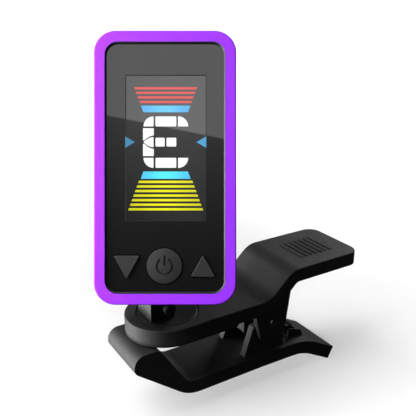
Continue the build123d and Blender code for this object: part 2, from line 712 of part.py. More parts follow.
with BuildPart() as bezel_ring:
    with BuildSketch(level(SEAM_LEVEL)):
        RectangleRounded(HEAD_WIDTH, HEAD_HEIGHT, HEAD_CORNER)
    extrude(amount=HEAD_DEPTH - SEAM_LEVEL)
    fillet(bezel_ring.faces().sort_by(out_axis)[-1].edges(), FRONT_ROUND)
    with BuildSketch(level(SEAM_LEVEL)):
        RectangleRounded(inner_width, inner_height, inner_corner)
    extrude(amount=LENS_TOP - SEAM_LEVEL, mode=Mode.SUBTRACT)
    with BuildSketch(level(LENS_TOP - 2 * BURY)):
        window_outline(0)
    extrude(amount=HEAD_DEPTH, mode=Mode.SUBTRACT)
    grown = (inner_width + 2 * POST_BITE, inner_height + 2 * POST_BITE, inner_corner + POST_BITE)
    extrude(
        corner_patches(*grown, POST_SIZE, level(POST_TOP)),
        amount=LENS_TOP - LENS_THICK - LAYER_GAP - POST_TOP,
    )
    with BuildSketch(level(POST_TOP)):
        with GridLocations(2 * SCREW_W, 2 * SCREW_U, 2, 2):
            Circle(SCREW_RADIUS + 0.02)
    extrude(amount=SCREW_END - POST_TOP + 0.2, mode=Mode.SUBTRACT)
finish(bezel_ring, "bezel_ring")

# black trim that lines the wall round the sunken face, bevelled on its inner front edge
trim_low = LENS_TOP + TRIM_CLEAR
with BuildPart() as face_trim:
    with BuildSketch(level(trim_low)):
        window_outline(TRIM_CLEAR)
    extrude(amount=HEAD_DEPTH - TRIM_BELOW_FRONT - trim_low)
    with BuildSketch(level(trim_low)):
        window_outline(TRIM_WALL)
    extrude(amount=HEAD_DEPTH, mode=Mode.SUBTRACT)
    chamfer(face_trim.faces().sort_by(out_axis)[-1].inner_wires()[0].edges(), TRIM_BEVEL)
finish(face_trim, "face_trim")

tongue_width, tongue_height = inner_width - 0.2, inner_height - 0.2
tongue_corner = inner_corner - 0.1
with BuildPart() as rear_shell:
    with BuildSketch(HEAD):
        RectangleRounded(HEAD_WIDTH, HEAD_HEIGHT, HEAD_CORNER)
    extrude(amount=SEAM_LEVEL - 0.05)
    fillet(rear_shell.faces().sort_by(out_axis)[0].edges(), BACK_ROUND)
    with BuildSketch(HEAD.offset(1.5)):
        RectangleRounded(tongue_width, tongue_height, tongue_corner)
    extrude(amount=POST_TOP - 0.05 - 1.5)
    with BuildSketch(level(WALL)):
        RectangleRounded(tongue_width - 2, tongue_height - 2, tongue_corner - 1)
    extrude(amount=HEAD_DEPTH, mode=Mode.SUBTRACT)
    extrude(
        corner_patches(tongue_width, tongue_height, tongue_corner, POST_SIZE, level(WALL)),
        amount=POST_TOP - 0.05 - WALL,
    )
    # lug that holds the stud
    with BuildSketch(Plane(origin=BACK_CENTRE + ACROSS * LUG_HALF_WIDTH, x_dir=UP, z_dir=-ACROSS)) as lug:
        with BuildLine():
            Polyline(
                (lug_foot, -0.5),
                (lug_foot, BALL_STANDOFF + LUG_BEHIND),
                (lug_foot + 5.5, BALL_STANDOFF + LUG_BEHIND),
                (lug_foot + 9.5, 0),
                (lug_foot + 9.5, -0.5),
                close=True,
            )
        make_face()
        round_corner(lug, lug_foot, BALL_STANDOFF + LUG_BEHIND, 1.0)
        round_corner(lug, lug_foot + 5.5, BALL_STANDOFF + LUG_BEHIND, 2.5)
    extrude(amount=2 * LUG_HALF_WIDTH)
    with BuildSketch(stud_plane.offset(LUG_CLEAR)):
        Circle(SHANK_RADIUS + RUNNING_GAP)
    extrude(amount=SHANK_LENGTH + 0.1, mode=Mode.SUBTRACT)
    with BuildSketch(retaining_pin_plane):
        Circle(STUD_PIN_RADIUS + 0.02)
    extrude(amount=-2 * LUG_HALF_WIDTH, mode=Mode.SUBTRACT)
    # case screws, each with its head sunk in the back
    with BuildSketch(HEAD):
        with GridLocations(2 * SCREW_W, 2 * SCREW_U, 2, 2):
            Circle(CASE_HEAD_RADIUS + 0.15)
    extrude(amount=CASE_HEAD + 0.1, mode=Mode.SUBTRACT)
    with BuildSketch(HEAD):
        with GridLocations(2 * SCREW_W, 2 * SCREW_U, 2, 2):
            Circle(SCREW_RADIUS + 0.1)
    extrude(amount=POST_TOP, mode=Mode.SUBTRACT)
    # battery doorway with three bayonet notches
    with BuildSketch(HEAD):
        with Locations((0, DOOR_UP)):
            Circle(DOOR_RADIUS + 0.1)
    extrude(amount=WALL, mode=Mode.SUBTRACT)
    extrude(door_lugs(HEAD, LUG_ARC + 4, LUG_REACH + 0.15, DOOR_TURN), amount=WALL, mode=Mode.SUBTRACT)
finish(rear_shell, "rear_shell")

with BuildPart() as battery_door:
    with BuildSketch(HEAD):
        with Locations((0, DOOR_UP)):
            Circle(DOOR_RADIUS)
    extrude(amount=WALL)
    chamfer(battery_door.faces().sort_by(out_axis)[0].edges(), 0.2)
    with BuildSketch(level(WALL)):
        with Locations((0, DOOR_UP)):
            Circle(DOOR_RADIUS)
            Circle(CELL_RADIUS + 0.1, mode=Mode.SUBTRACT)
    extrude(amount=0.75)
    extrude(door_lugs(level(WALL + 0.05), LUG_ARC, LUG_REACH, 0), amount=0.7)
    with BuildSketch(HEAD):
        with Locations((0, DOOR_UP)):
            SlotOverall(11.0, 1.7)
    extrude(amount=0.55, mode=Mode.SUBTRACT)
finish(battery_door, "battery_door")

with BuildPart() as stud_pin:
    with BuildSketch(retaining_pin_plane):
        Circle(STUD_PIN_RADIUS)
    extrude(amount=-2 * LUG_HALF_WIDTH)
finish(stud_pin, "stud_pin")

with BuildPart() as case_screws:
    with BuildSketch(level(0.1)):
        with GridLocations(2 * SCREW_W, 2 * SCREW_U, 2, 2):
            Circle(CASE_HEAD_RADIUS)
    extrude(amount=CASE_HEAD)
    with BuildSketch(level(0.1)):
        with GridLocations(2 * SCREW_W, 2 * SCREW_U, 2, 2):
            Circle(SCREW_RADIUS)
    extrude(amount=SCREW_END - 0.1)
    with BuildSketch(level(0.1)):
        with GridLocations(2 * SCREW_W, 2 * SCREW_U, 2, 2):
            Rectangle(1.6, 0.32)
            Rectangle(0.32, 1.6)
    extrude(amount=0.4, mode=Mode.SUBTRACT)
finish(case_screws, "case_screws")

# ---------------------------------------------------------------- keys and lens


def key_outline(kind, plane, grow):
    """Outline of one key, grown by a margin all round."""
    with BuildSketch(plane) as outline:
        if kind == "power":
            with Locations((POWER_ACROSS, KEY_UP)):
                Circle(POWER_RADIUS + grow)
        else:
            size = DOWN_KEY if kind == "down" else UP_KEY
            x, y, base = size["across"], size["up"], size["base"] / 2
            half = size["way"] * size["height"] / 2
            with BuildLine():
                Polyline((x - base, y - half), (x + base, y - half), (x, y + half), close=True)
            make_face()
            fillet(outline.vertices(), KEY_CORNER)
            if grow:
                offset(amount=grow, kind=Kind.ARC)
    return outline.sketch


lens_back = LENS_TOP - LENS_THICK
flange_top = lens_back - 0.1
flange_low = flange_top - KEY_FLANGE_THICK
key_feet = {"down": DOWN_KEY["across"], "power": POWER_ACROSS, "up": UP_KEY["across"]}
for kind, foot in key_feet.items():
    with BuildPart() as key:
        extrude(key_outline(kind, level(flange_top - BURY), 0), amount=KEY_TOP - flange_top + BURY)
        if kind == "power":
            with Locations(level(KEY_TOP - POWER_CROWN_RADIUS).from_local_coords((POWER_ACROSS, KEY_UP, 0))):
                Sphere(POWER_CROWN_RADIUS, mode=Mode.INTERSECT)
        fillet(key.faces().sort_by(out_axis)[-1].edges(), KEY_EDGE)
        extrude(key_outline(kind, level(flange_low), KEY_FLANGE), amount=KEY_FLANGE_THICK)
        with BuildSketch(level(PLUNGER_FOOT)):
            with Locations((foot, KEY_UP)):
                Circle(PLUNGER_RADIUS)
        extrude(amount=flange_low + BURY - PLUNGER_FOOT)
        if kind == "power":
            with BuildSketch(level(KEY_TOP)) as symbol:
                with Locations((POWER_ACROSS, KEY_UP)):
                    Circle(SYMBOL_RADIUS)
                    Circle(SYMBOL_RADIUS - SYMBOL_LINE, mode=Mode.SUBTRACT)
                with Locations((POWER_ACROSS, KEY_UP + SYMBOL_RADIUS)):
                    Rectangle(SYMBOL_GAP, SYMBOL_RADIUS, mode=Mode.SUBTRACT)
                with Locations((POWER_ACROSS, KEY_UP + 0.64 * SYMBOL_RADIUS)):
                    SlotOverall(1.13 * SYMBOL_RADIUS, SYMBOL_LINE, rotation=90)
            extrude(amount=-SYMBOL_DEPTH, mode=Mode.SUBTRACT)
    finish(key, "key_" + kind)

with BuildPart() as face_lens:
    with BuildSketch(level(lens_back)):
        RectangleRounded(inner_width - 0.3, inner_height - 0.3, inner_corner - 0.15)
    extrude(amount=LENS_THICK)
    for kind in ("down", "power", "up"):
        extrude(key_outline(kind, level(lens_back), KEY_GAP), amount=LENS_THICK, mode=Mode.SUBTRACT)
finish(face_lens, "face_lens")

# ---------------------------------------------------------------- electronics
display_centre = (DISPLAY_ACROSS, DISPLAY_UP)
board_front = BOARD_LEVEL + BOARD_THICK


def display_layer(label, width, height, low, high, hole=None):
    """A rectangular layer of the display, with an optional rectangular hole."""
    with BuildPart() as layer:
        with BuildSketch(level(low)):
            with Locations(display_centre):
                Rectangle(width, height)
                if hole:
                    Rectangle(*hole, mode=Mode.SUBTRACT)
        extrude(amount=high - low)
    finish(layer, label)


layers_low = board_front + LAYER_GAP
layers_top = lens_back - 2 * LAYER_GAP
backlight_top = layers_low + BACKLIGHT_THICK
display_layer("backlight", *BACKLIGHT_SIZE, layers_low, backlight_top)
display_layer("lcd_panel", *DISPLAY_SIZE, backlight_top + LAYER_GAP, layers_top)
display_layer("display_frame", *DISPLAY_FRAME_SIZE, layers_low, layers_top, DISPLAY_FRAME_HOLE)

with BuildPart() as circuit_board:
    with BuildSketch(level(BOARD_LEVEL)):
        RectangleRounded(tongue_width - 0.4, tongue_height - 0.4, tongue_corner)
    extrude(amount=BOARD_THICK)
    notches = (inner_width + 1, inner_height + 1, inner_corner, POST_SIZE + BOARD_NOTCH)
    extrude(corner_patches(*notches, level(BOARD_LEVEL)), amount=BOARD_THICK, mode=Mode.SUBTRACT)
finish(circuit_board, "circuit_board")

with BuildPart() as board_chips:
    with BuildSketch(level(BOARD_LEVEL)):
        for place, size in CHIPS:
            with Locations(place):
                Rectangle(*size)
    extrude(amount=-CHIP_HEIGHT)
finish(board_chips, "board_chips")

with BuildPart() as dome_switches:
    with BuildSketch(level(board_front)):
        with Locations(*[(foot, KEY_UP) for foot in key_feet.values()]):
            Circle(DOME_RADIUS)
    extrude(amount=DOME_HEIGHT, taper=45)
finish(dome_switches, "dome_switches")

with BuildPart() as piezo_pickup:
    with BuildSketch(level(WALL)):
        with Locations((0, PIEZO_UP)):
            Circle(PIEZO_DISC_RADIUS)
    extrude(amount=PIEZO_THICK)
    with BuildSketch(level(WALL + PIEZO_THICK)):
        with Locations((0, PIEZO_UP)):
            Circle(PIEZO_CRYSTAL_RADIUS)
    extrude(amount=PIEZO_THICK)
finish(piezo_pickup, "piezo_pickup")

cell_back = WALL + 0.2
with BuildPart() as battery_cell:
    with BuildSketch(level(cell_back)):
        with Locations((0, DOOR_UP)):
            Circle(CELL_RADIUS)
    extrude(amount=CELL_THICK - 0.25)
    with BuildSketch(level(cell_back)):
        with Locations((0, DOOR_UP)):
            Circle(CELL_RADIUS - 1.1)
    extrude(amount=CELL_THICK)
    fillet(battery_cell.faces().sort_by(out_axis)[0].edges(), 0.4)
finish(battery_cell, "battery_cell")

with BuildPart() as battery_contact_neg:
    with BuildSketch(level(BOARD_LEVEL - LAYER_GAP)):
        with Locations((0, DOOR_UP)):
            SlotOverall(*CONTACT_SIZE)
    extrude(amount=-CONTACT_THICK)
finish(battery_contact_neg, "battery_contact_neg")

with BuildPart() as battery_contact_pos:
    with BuildSketch(level(BOARD_LEVEL - LAYER_GAP)):
        with Locations((0, DOOR_UP)):
            Circle(CELL_RADIUS + 0.1 + RIM_CONTACT_THICK)
            Circle(CELL_RADIUS + 0.1, mode=Mode.SUBTRACT)
            with Locations((RIM_CONTACT_CUT, 0)):
                Rectangle(2 * CELL_RADIUS, 3 * CELL_RADIUS, mode=Mode.SUBTRACT)
    extrude(amount=-RIM_CONTACT_DEPTH)
finish(battery_contact_pos, "battery_contact_pos")

os.makedirs("parts", exist_ok=True)
for piece in finished:
    export_step(piece.part, f"parts/{piece.part.label}.step")
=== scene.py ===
import json
import math

import bmesh
import bpy
from mathutils import Matrix, Vector
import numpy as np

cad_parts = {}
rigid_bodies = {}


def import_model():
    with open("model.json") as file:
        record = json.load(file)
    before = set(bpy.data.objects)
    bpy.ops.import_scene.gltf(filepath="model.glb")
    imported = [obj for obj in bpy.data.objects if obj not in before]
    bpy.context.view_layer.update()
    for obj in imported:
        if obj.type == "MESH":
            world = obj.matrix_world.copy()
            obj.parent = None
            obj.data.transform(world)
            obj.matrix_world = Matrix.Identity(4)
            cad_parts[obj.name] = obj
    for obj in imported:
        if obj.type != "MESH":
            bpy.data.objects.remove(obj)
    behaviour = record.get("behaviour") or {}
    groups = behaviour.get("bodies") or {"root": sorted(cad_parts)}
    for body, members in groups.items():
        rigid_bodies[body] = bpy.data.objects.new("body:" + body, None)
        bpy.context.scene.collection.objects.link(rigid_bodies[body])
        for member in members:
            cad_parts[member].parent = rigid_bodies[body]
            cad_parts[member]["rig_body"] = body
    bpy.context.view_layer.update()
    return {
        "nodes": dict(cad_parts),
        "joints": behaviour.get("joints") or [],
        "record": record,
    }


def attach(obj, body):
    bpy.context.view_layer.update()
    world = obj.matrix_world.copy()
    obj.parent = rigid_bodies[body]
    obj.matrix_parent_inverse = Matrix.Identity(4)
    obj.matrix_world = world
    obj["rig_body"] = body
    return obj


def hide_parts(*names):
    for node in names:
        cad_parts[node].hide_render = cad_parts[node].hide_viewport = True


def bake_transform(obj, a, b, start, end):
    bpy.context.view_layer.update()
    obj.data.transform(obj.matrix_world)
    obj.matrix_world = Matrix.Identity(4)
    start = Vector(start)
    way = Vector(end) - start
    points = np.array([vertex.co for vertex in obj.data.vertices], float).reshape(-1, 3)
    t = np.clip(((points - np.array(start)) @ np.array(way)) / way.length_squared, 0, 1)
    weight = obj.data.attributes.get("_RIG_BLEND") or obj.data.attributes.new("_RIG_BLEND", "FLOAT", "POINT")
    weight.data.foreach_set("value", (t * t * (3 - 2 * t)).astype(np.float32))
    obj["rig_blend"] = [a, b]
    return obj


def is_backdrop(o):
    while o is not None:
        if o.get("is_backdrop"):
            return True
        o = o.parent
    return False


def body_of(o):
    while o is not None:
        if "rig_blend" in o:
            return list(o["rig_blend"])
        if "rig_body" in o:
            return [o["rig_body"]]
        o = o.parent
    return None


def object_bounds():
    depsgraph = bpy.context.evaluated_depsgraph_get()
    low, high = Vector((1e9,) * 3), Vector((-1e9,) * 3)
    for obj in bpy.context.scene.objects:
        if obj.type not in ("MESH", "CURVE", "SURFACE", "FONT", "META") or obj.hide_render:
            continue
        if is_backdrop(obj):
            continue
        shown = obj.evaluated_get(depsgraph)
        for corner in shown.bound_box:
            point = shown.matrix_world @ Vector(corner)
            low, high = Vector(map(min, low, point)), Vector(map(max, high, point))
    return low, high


# Clip-on tuner: its looks and a small studio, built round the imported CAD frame.
# Metres in the frame's own axes, except for the display, whose section says millimetres.

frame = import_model()

MM = 0.001

# ---------------------------------------------------------------- the head's own axes
joints = {joint["name"]: joint for joint in frame["joints"]}
OUT = -Vector(joints["key_power_press"]["axis"]).normalized()
UP = Vector(joints["head_swivel"]["axis"]).normalized()
ACROSS = UP.cross(OUT).normalized()
SWIVEL = Vector(joints["turntable_swivel"]["pos_m"])
PIN = Vector(joints["jaw_hinge"]["pos_m"])


def along(node, direction):
    """Lowest and highest place of a CAD node along a direction."""
    values = [vertex.co.dot(direction) for vertex in frame["nodes"][node].data.vertices]
    return min(values), max(values)


def middle(node, direction):
    """Point on a direction's axis halfway between a CAD node's ends."""
    low, high = along(node, direction)
    return direction * (low + high) / 2


HEAD_MID = middle("bezel_ring", ACROSS) + middle("bezel_ring", UP)
LENS_FRONT = along("face_lens", OUT)[1]
FACE = HEAD_MID + OUT * LENS_FRONT


def head_matrix(origin):
    """Matrix whose x is ACROSS, y is UP and z is OUT."""
    rows = [[ACROSS[i], UP[i], OUT[i], origin[i]] for i in range(3)]
    return Matrix(rows + [[0, 0, 0, 1]])


def add_object(name, data):
    """A new object, linked to the scene."""
    item = bpy.data.objects.new(name, data)
    bpy.context.scene.collection.objects.link(item)
    return item


# ---------------------------------------------------------------- material parts
MOTTLE_SCALE = 260
GLOSS_PATCH_SCALE = 900
GRAIN_STRENGTH = 0.6
SCRATCH_DEPTH = 0.00002
SCRATCH_STRENGTH = 0.4
SMEAR_SCALE = 140
SMEAR_ROUGHNESS = (0.010, 0.030)
RIPPLE_SCALE = 60
RIPPLE_DEPTH = 0.00004
RIPPLE_STRENGTH = 0.02
COAT_ROUGHNESS = 0.03
CELL_SCALE = 1500
CELL_DIM = (0.95, 0.95, 0.95)
LIT_ROUGHNESS = (0.20, 0.26)
LIT_BASE = 0.05
# noise is mostly between these values, so they become the ends of a range
NOISE_LOW, NOISE_HIGH = 0.25, 0.75


def grey(value):
    """A neutral colour."""
    return (value, value, value)


def new_material(name):
    """A material with nothing in its tree but one Principled shader and the output."""
    material = bpy.data.materials.new(name)
    material.use_nodes = True
    nodes = material.node_tree.nodes
    nodes.clear()
    output = nodes.new("ShaderNodeOutputMaterial")
    shader = nodes.new("ShaderNodeBsdfPrincipled")
    material.node_tree.links.new(shader.outputs[0], output.inputs[0])
    return material, shader


def object_coords(material):
    """Coordinates in metres that stay with a piece as it moves."""
    return material.node_tree.nodes.new("ShaderNodeTexCoord").outputs["Object"]


def noise(material, scale, detail=4.0, roughness=0.55):
    """Noise over object coordinates, with features about 1/scale metres across."""
    texture = material.node_tree.nodes.new("ShaderNodeTexNoise")
    texture.inputs["Scale"].default_value = scale
    texture.inputs["Detail"].default_value = detail
    texture.inputs["Roughness"].default_value = roughness
    material.node_tree.links.new(object_coords(material), texture.inputs["Vector"])
    return texture.outputs["Fac"]


def spread(material, value, low, high):
    """Map a noise value to a range, clamped at both ends."""
    node = material.node_tree.nodes.new("ShaderNodeMapRange")
    node.inputs["From Min"].default_value = NOISE_LOW
    node.inputs["From Max"].default_value = NOISE_HIGH
    node.inputs["To Min"].default_value = low
    node.inputs["To Max"].default_value = high
    material.node_tree.links.new(value, node.inputs["Value"])
    return node.outputs[0]


def tint(material, value, dark, light):
    """Mix two colours by a value."""
    node = material.node_tree.nodes.new("ShaderNodeMix")
    node.data_type = "RGBA"
    node.inputs["A"].default_value = (*dark, 1)
    node.inputs["B"].default_value = (*light, 1)
    material.node_tree.links.new(value, node.inputs["Factor"])
    return node.outputs["Result"]


def multiply(material, first, second):
    """Multiply two colours."""
    node = material.node_tree.nodes.new("ShaderNodeMix")
    node.data_type = "RGBA"
    node.blend_type = "MULTIPLY"
    node.inputs["Factor"].default_value = 1.0
    material.node_tree.links.new(first, node.inputs["A"])
    material.node_tree.links.new(second, node.inputs["B"])
    return node.outputs["Result"]


def bump(material, value, distance, strength):
    """Bump from a height value."""
    node = material.node_tree.nodes.new("ShaderNodeBump")
    node.inputs["Distance"].default_value = distance
    node.inputs["Strength"].default_value = strength
    material.node_tree.links.new(value, node.inputs["Height"])
    return node.outputs[0]


def math_node(material, operation, value, operand=None):
    """Arithmetic on a value, with a constant where the operation takes one."""
    node = material.node_tree.nodes.new("ShaderNodeMath")
    node.operation = operation
    material.node_tree.links.new(value, node.inputs[0])
    if operand is not None:
        node.inputs[1].default_value = operand
    return node.outputs[0]


def ends_fade(material, half_width, centre):
    """Value that runs from 0 at a place across the head to 1 at a distance to either side."""
    nodes, links = material.node_tree.nodes, material.node_tree.links
    across = nodes.new("ShaderNodeVectorMath")
    across.operation = "DOT_PRODUCT"
    across.inputs[1].default_value = ACROSS
    links.new(object_coords(material), across.inputs[0])
    middle_across = HEAD_MID.dot(ACROSS) + centre
    offset = math_node(material, "SUBTRACT", across.outputs["Value"], middle_across)
    ramp = nodes.new("ShaderNodeMapRange")
    ramp.interpolation_type = "SMOOTHSTEP"
    ramp.inputs["From Max"].default_value = half_width
    links.new(math_node(material, "ABSOLUTE", offset), ramp.inputs["Value"])
    return ramp.outputs[0]


# ---------------------------------------------------------------- kinds of material
def plastic(name, dark, light, roughness, grain, grain_depth, specular=0.5):
    """Moulded plastic or rubber: faint mottling, uneven gloss and a fine spark-eroded grain."""
    material, shader = new_material(name)
    links = material.node_tree.links
    mottle = spread(material, noise(material, MOTTLE_SCALE, 3), 0, 1)
    links.new(tint(material, mottle, dark, light), shader.inputs["Base Color"])
    patches = noise(material, GLOSS_PATCH_SCALE, 5)
    links.new(spread(material, patches, *roughness), shader.inputs["Roughness"])
    fine = noise(material, grain, 2, 0.6)
    links.new(bump(material, fine, grain_depth, GRAIN_STRENGTH), shader.inputs["Normal"])
    shader.inputs["Specular IOR Level"].default_value = specular
    return material


def metal(name, dark, light, roughness, stretch):
    """Metal with fine drawn or turned scratches, longest where the stretch is smallest."""
    material, shader = new_material(name)
    nodes, links = material.node_tree.nodes, material.node_tree.links
    mapping = nodes.new("ShaderNodeMapping")
    mapping.inputs["Scale"].default_value = stretch
    texture = nodes.new("ShaderNodeTexNoise")
    texture.inputs["Scale"].default_value = 1.0
    texture.inputs["Detail"].default_value = 6.0
    links.new(object_coords(material), mapping.inputs["Vector"])
    links.new(mapping.outputs[0], texture.inputs["Vector"])
    scratches = texture.outputs["Fac"]
    shade = spread(material, scratches, 0, 1)
    links.new(tint(material, shade, dark, light), shader.inputs["Base Color"])
    links.new(spread(material, scratches, *roughness), shader.inputs["Roughness"])
    links.new(bump(material, scratches, SCRATCH_DEPTH, SCRATCH_STRENGTH), shader.inputs["Normal"])
    shader.inputs["Metallic"].default_value = 1.0
    return material


def gloss(name, dark, light, coat, specular=0.5, fade=None):
    """Polished plastic or glass with faint wipe marks; its tint may instead fade across the head, as painted
    shade.
    """
    material, shader = new_material(name)
    links = material.node_tree.links
    smears = noise(material, SMEAR_SCALE, 6, 0.7)
    shade = spread(material, smears, 0, 1) if fade is None else ends_fade(material, *fade)
    links.new(tint(material, shade, dark, light), shader.inputs["Base Color"])
    links.new(spread(material, smears, *SMEAR_ROUGHNESS), shader.inputs["Roughness"])
    ripple = noise(material, RIPPLE_SCALE, 1)
    links.new(bump(material, ripple, RIPPLE_DEPTH, RIPPLE_STRENGTH), shader.inputs["Normal"])
    shader.inputs["Specular IOR Level"].default_value = specular
    shader.inputs["Coat Weight"].default_value = coat
    shader.inputs["Coat Roughness"].default_value = COAT_ROUGHNESS
    return material


def lit(name, middle_colour, end_colour, half_width):
    """A lit display area: one colour in the middle, another at a distance across, slightly uneven."""
    material, shader = new_material(name)
    links = material.node_tree.links
    fade = ends_fade(material, half_width * MM, 0.0)
    colour = tint(material, fade, middle_colour, end_colour)
    cells = noise(material, CELL_SCALE, 2)
    unevenness = tint(material, spread(material, cells, 0, 1), CELL_DIM, (1, 1, 1))
    links.new(multiply(material, colour, unevenness), shader.inputs["Emission Color"])
    shader.inputs["Emission Strength"].default_value = 1.0
    base = [channel * LIT_BASE for channel in middle_colour]
    shader.inputs["Base Color"].default_value = (*base, 1)
    links.new(spread(material, cells, *LIT_ROUGHNESS), shader.inputs["Roughness"])
    return material


# ---------------------------------------------------------------- materials
SPRING = metal("spring_steel", (0.66, 0.66, 0.68), (0.82, 0.82, 0.84), (0.14, 0.26), (4000, 4000, 4000))
BY_SLOT = {
    "bezel_purple": plastic(
        "bezel_purple", (0.31, 0.029, 0.98), (0.33, 0.032, 1.0), (0.50, 0.60), 9000, 0.00002, 0.2
    ),
    "shell_black": plastic(
        "shell_black", (0.016, 0.016, 0.017), (0.022, 0.022, 0.023), (0.46, 0.58), 7000, 0.00005
    ),
    "arm_black": plastic(
        "arm_black", (0.014, 0.014, 0.0145), (0.021, 0.021, 0.0215), (0.54, 0.64), 6500, 0.00012, 0.45
    ),
    "trim_black": plastic("trim_black", grey(0.010), grey(0.013), (0.40, 0.50), 9000, 0.00002),
    "turntable_black": plastic(
        "turntable_black", (0.015, 0.015, 0.016), (0.021, 0.021, 0.022), (0.42, 0.54), 7000, 0.00005
    ),
    "key_rubber": plastic("key_rubber", grey(0.0105), grey(0.0135), (0.62, 0.74), 8000, 0.00005, 0.35),
    "pad_rubber": plastic("pad_rubber", grey(0.012), grey(0.018), (0.70, 0.85), 5000, 0.00008, 0.3),
    "lens_black": gloss("lens_black", grey(0.0035), grey(0.0045), 0.0),
    "steel": metal("steel", (0.50, 0.50, 0.51), (0.68, 0.68, 0.69), (0.20, 0.36), (3000, 3000, 300)),
    "spring_steel": SPRING,
    "screw_black": metal(
        "screw_black", (0.09, 0.09, 0.092), (0.15, 0.15, 0.152), (0.34, 0.50), (3000, 900, 3000)
    ),
    "brass": metal("brass", (0.62, 0.43, 0.16), (0.80, 0.60, 0.26), (0.22, 0.40), (3000, 500, 3000)),
    "diffuser_white": plastic(
        "diffuser_white", (0.80, 0.84, 0.88), (0.86, 0.89, 0.92), (0.40, 0.50), 3000, 0.00002
    ),
    "frame_white": plastic(
        "frame_white", (0.66, 0.67, 0.67), (0.72, 0.73, 0.73), (0.45, 0.60), 5000, 0.00004
    ),
    "lcd_glass": gloss("lcd_glass", (0.035, 0.040, 0.045), (0.05, 0.055, 0.06), 0.5),
    "board_green": plastic(
        "board_green", (0.010, 0.11, 0.035), (0.016, 0.16, 0.05), (0.22, 0.34), 4000, 0.00002
    ),
    "chip_black": plastic("chip_black", grey(0.018), grey(0.028), (0.50, 0.62), 9000, 0.00003),
    "dome_steel": metal("dome_steel", grey(0.60), grey(0.75), (0.20, 0.32), (2000, 2000, 2000)),
    "cell_steel": metal(
        "cell_steel", (0.58, 0.59, 0.60), (0.72, 0.73, 0.74), (0.22, 0.36), (900, 2500, 900)
    ),
    "contact_plated": metal(
        "contact_plated", (0.62, 0.60, 0.54), (0.76, 0.74, 0.68), (0.22, 0.36), (2500, 600, 2500)
    ),
}
# painted shade: the display pane darkens from 4 mm right of the middle towards both sides, most towards its
# left edge
WINDOW = gloss("window_dark", grey(0.016), grey(0.006), 0.0, 0.7, (12 * MM, 4 * MM))
# painted shadow: a dark sheet round the display pane, standing for the shade at the recess edge
RECESS_SHADOW_BLACK = plastic("recess_shadow_black", grey(0.010), grey(0.014), (0.5, 0.6), 9000, 0.00002, 0.2)
RED = lit("display_red", (0.74, 0.078, 0.082), (0.72, 0.078, 0.082), 7.0)
BLUE = lit("display_blue", (0.14, 0.60, 0.97), (0.09, 0.42, 0.80), 5.0)
CYAN = lit("display_cyan", (0.09, 0.88, 0.98), (0.075, 0.57, 0.93), 5.0)
YELLOW = lit("display_yellow", (0.90, 0.87, 0.004), (0.62, 0.60, 0.003), 8.0)
WHITE = lit("display_white", grey(1.0), grey(0.98), 5.0)
POINTER_LEFT = lit("pointer_left", (0.04, 0.22, 0.40), (0.035, 0.22, 0.40), 9.0)
POINTER_RIGHT = lit("pointer_right", (0.05, 0.34, 0.62), (0.05, 0.33, 0.60), 9.0)


def finish_cad_nodes():
    """Give each CAD node the material of its record slot."""
    for part in frame["record"]["subparts"]:
        mesh = frame["nodes"][part["node"]].data
        mesh.materials.clear()
        mesh.materials.append(BY_SLOT[part["material_slot"]])


# ---------------------------------------------------------------- display
# Places are millimetres from the middle of the head, x across to the right and y up.
# How far each layer's top stands out of the panel, and how thick the layers are.
PANE_PROUD = 0.02 * MM
SHADOW_LINE_PROUD = 0.04 * MM
MARK_PROUD = 0.05 * MM
LAYER_THICK = 0.04 * MM
# the most of a side that one rounded corner takes
CORNER_SHARE = 0.45

WINDOW_LEFT, WINDOW_RIGHT = -7.95, 8.15
WINDOW_LOW, WINDOW_HIGH = -10.6, 18.5
WINDOW_CORNER = 0.15
# the painted shadow line round the pane: its width on the left and top, its width on the right and bottom,
# and its corner radius
SHADOW_LINE_WIDE = 0.22
SHADOW_LINE_NARROW = 0.1
SHADOW_LINE_CORNER = 0.1

BAR_MIDDLE = 0.1
BAR_PITCH = 0.906
BAR_HEIGHT = 0.47
BAR_CORNER = 0.1
# rows, the first bar's top and half width, the half width's change each row, a bar's own slant
RED_BARS = (4, 16.04, 6.3, -0.35, -0.2)
YELLOW_BARS = (7, -2.54, 5.3, 0.33, 0.17)
# top, height, half width at the top and half width at the bottom
UPPER_BAND = (12.37, 1.32, 4.93, 4.43)
LOWER_BAND = (-0.71, 1.46, 4.43, 4.95)

# the letter's middle height and edges, its upright's right edge and its bars' two ends
LETTER_MIDDLE = 5.12
LETTER_TOP = 10.22
LETTER_LEFT, LETTER_RIGHT = -4.40, 4.56
COLUMN_RIGHT = -2.27
BAR_START, BAR_END = -1.93, 2.20
STROKE = 1.98
GAP = 0.36
SEGMENT_CORNER = 0.22
CENTRE_SPLIT = 0.08
CENTRE_HALF = 0.87
STROKE_LOW = LETTER_TOP - STROKE
CORNER_SETBACK = 0.05
CORNER_START = COLUMN_RIGHT - CORNER_SETBACK
# the pointed segment: its tip, half height, how blunt it is, and half the dark line round it
OGIVE_TIP = -4.33
OGIVE_HALF = 1.0
OGIVE_BLUNT = 1.9
OGIVE_STEPS = 12
OGIVE_LINE = 0.17
OGIVE_TIP_GAP = 2.2 * OGIVE_LINE

POINTER_HALF = 1.13
POINTER_LEFT_TIP, POINTER_RIGHT_TIP = -6.0, 6.2


def softened(outline, radius, steps=4):
    """The outline with each corner rounded over a radius, or over less where a side is short."""
    result = []
    count = len(outline)
    for index in range(count):
        before, corner, after = (Vector(outline[(index + k) % count]) for k in (-1, 0, 1))
        to_before, to_after = before - corner, after - corner
        reach = min(radius, to_before.length * CORNER_SHARE, to_after.length * CORNER_SHARE)
        start = corner + to_before.normalized() * reach
        end = corner + to_after.normalized() * reach
        for step in range(steps + 1):
            t = step / steps
            point = start * (1 - t) ** 2 + corner * 2 * t * (1 - t) + end * t ** 2
            result.append((point.x, point.y))
    return result


def box_outline(x0, y0, x1, y1):
    """A rectangle's corners, anticlockwise from the lower left."""
    return [(x0, y0), (x1, y0), (x1, y1), (x0, y1)]


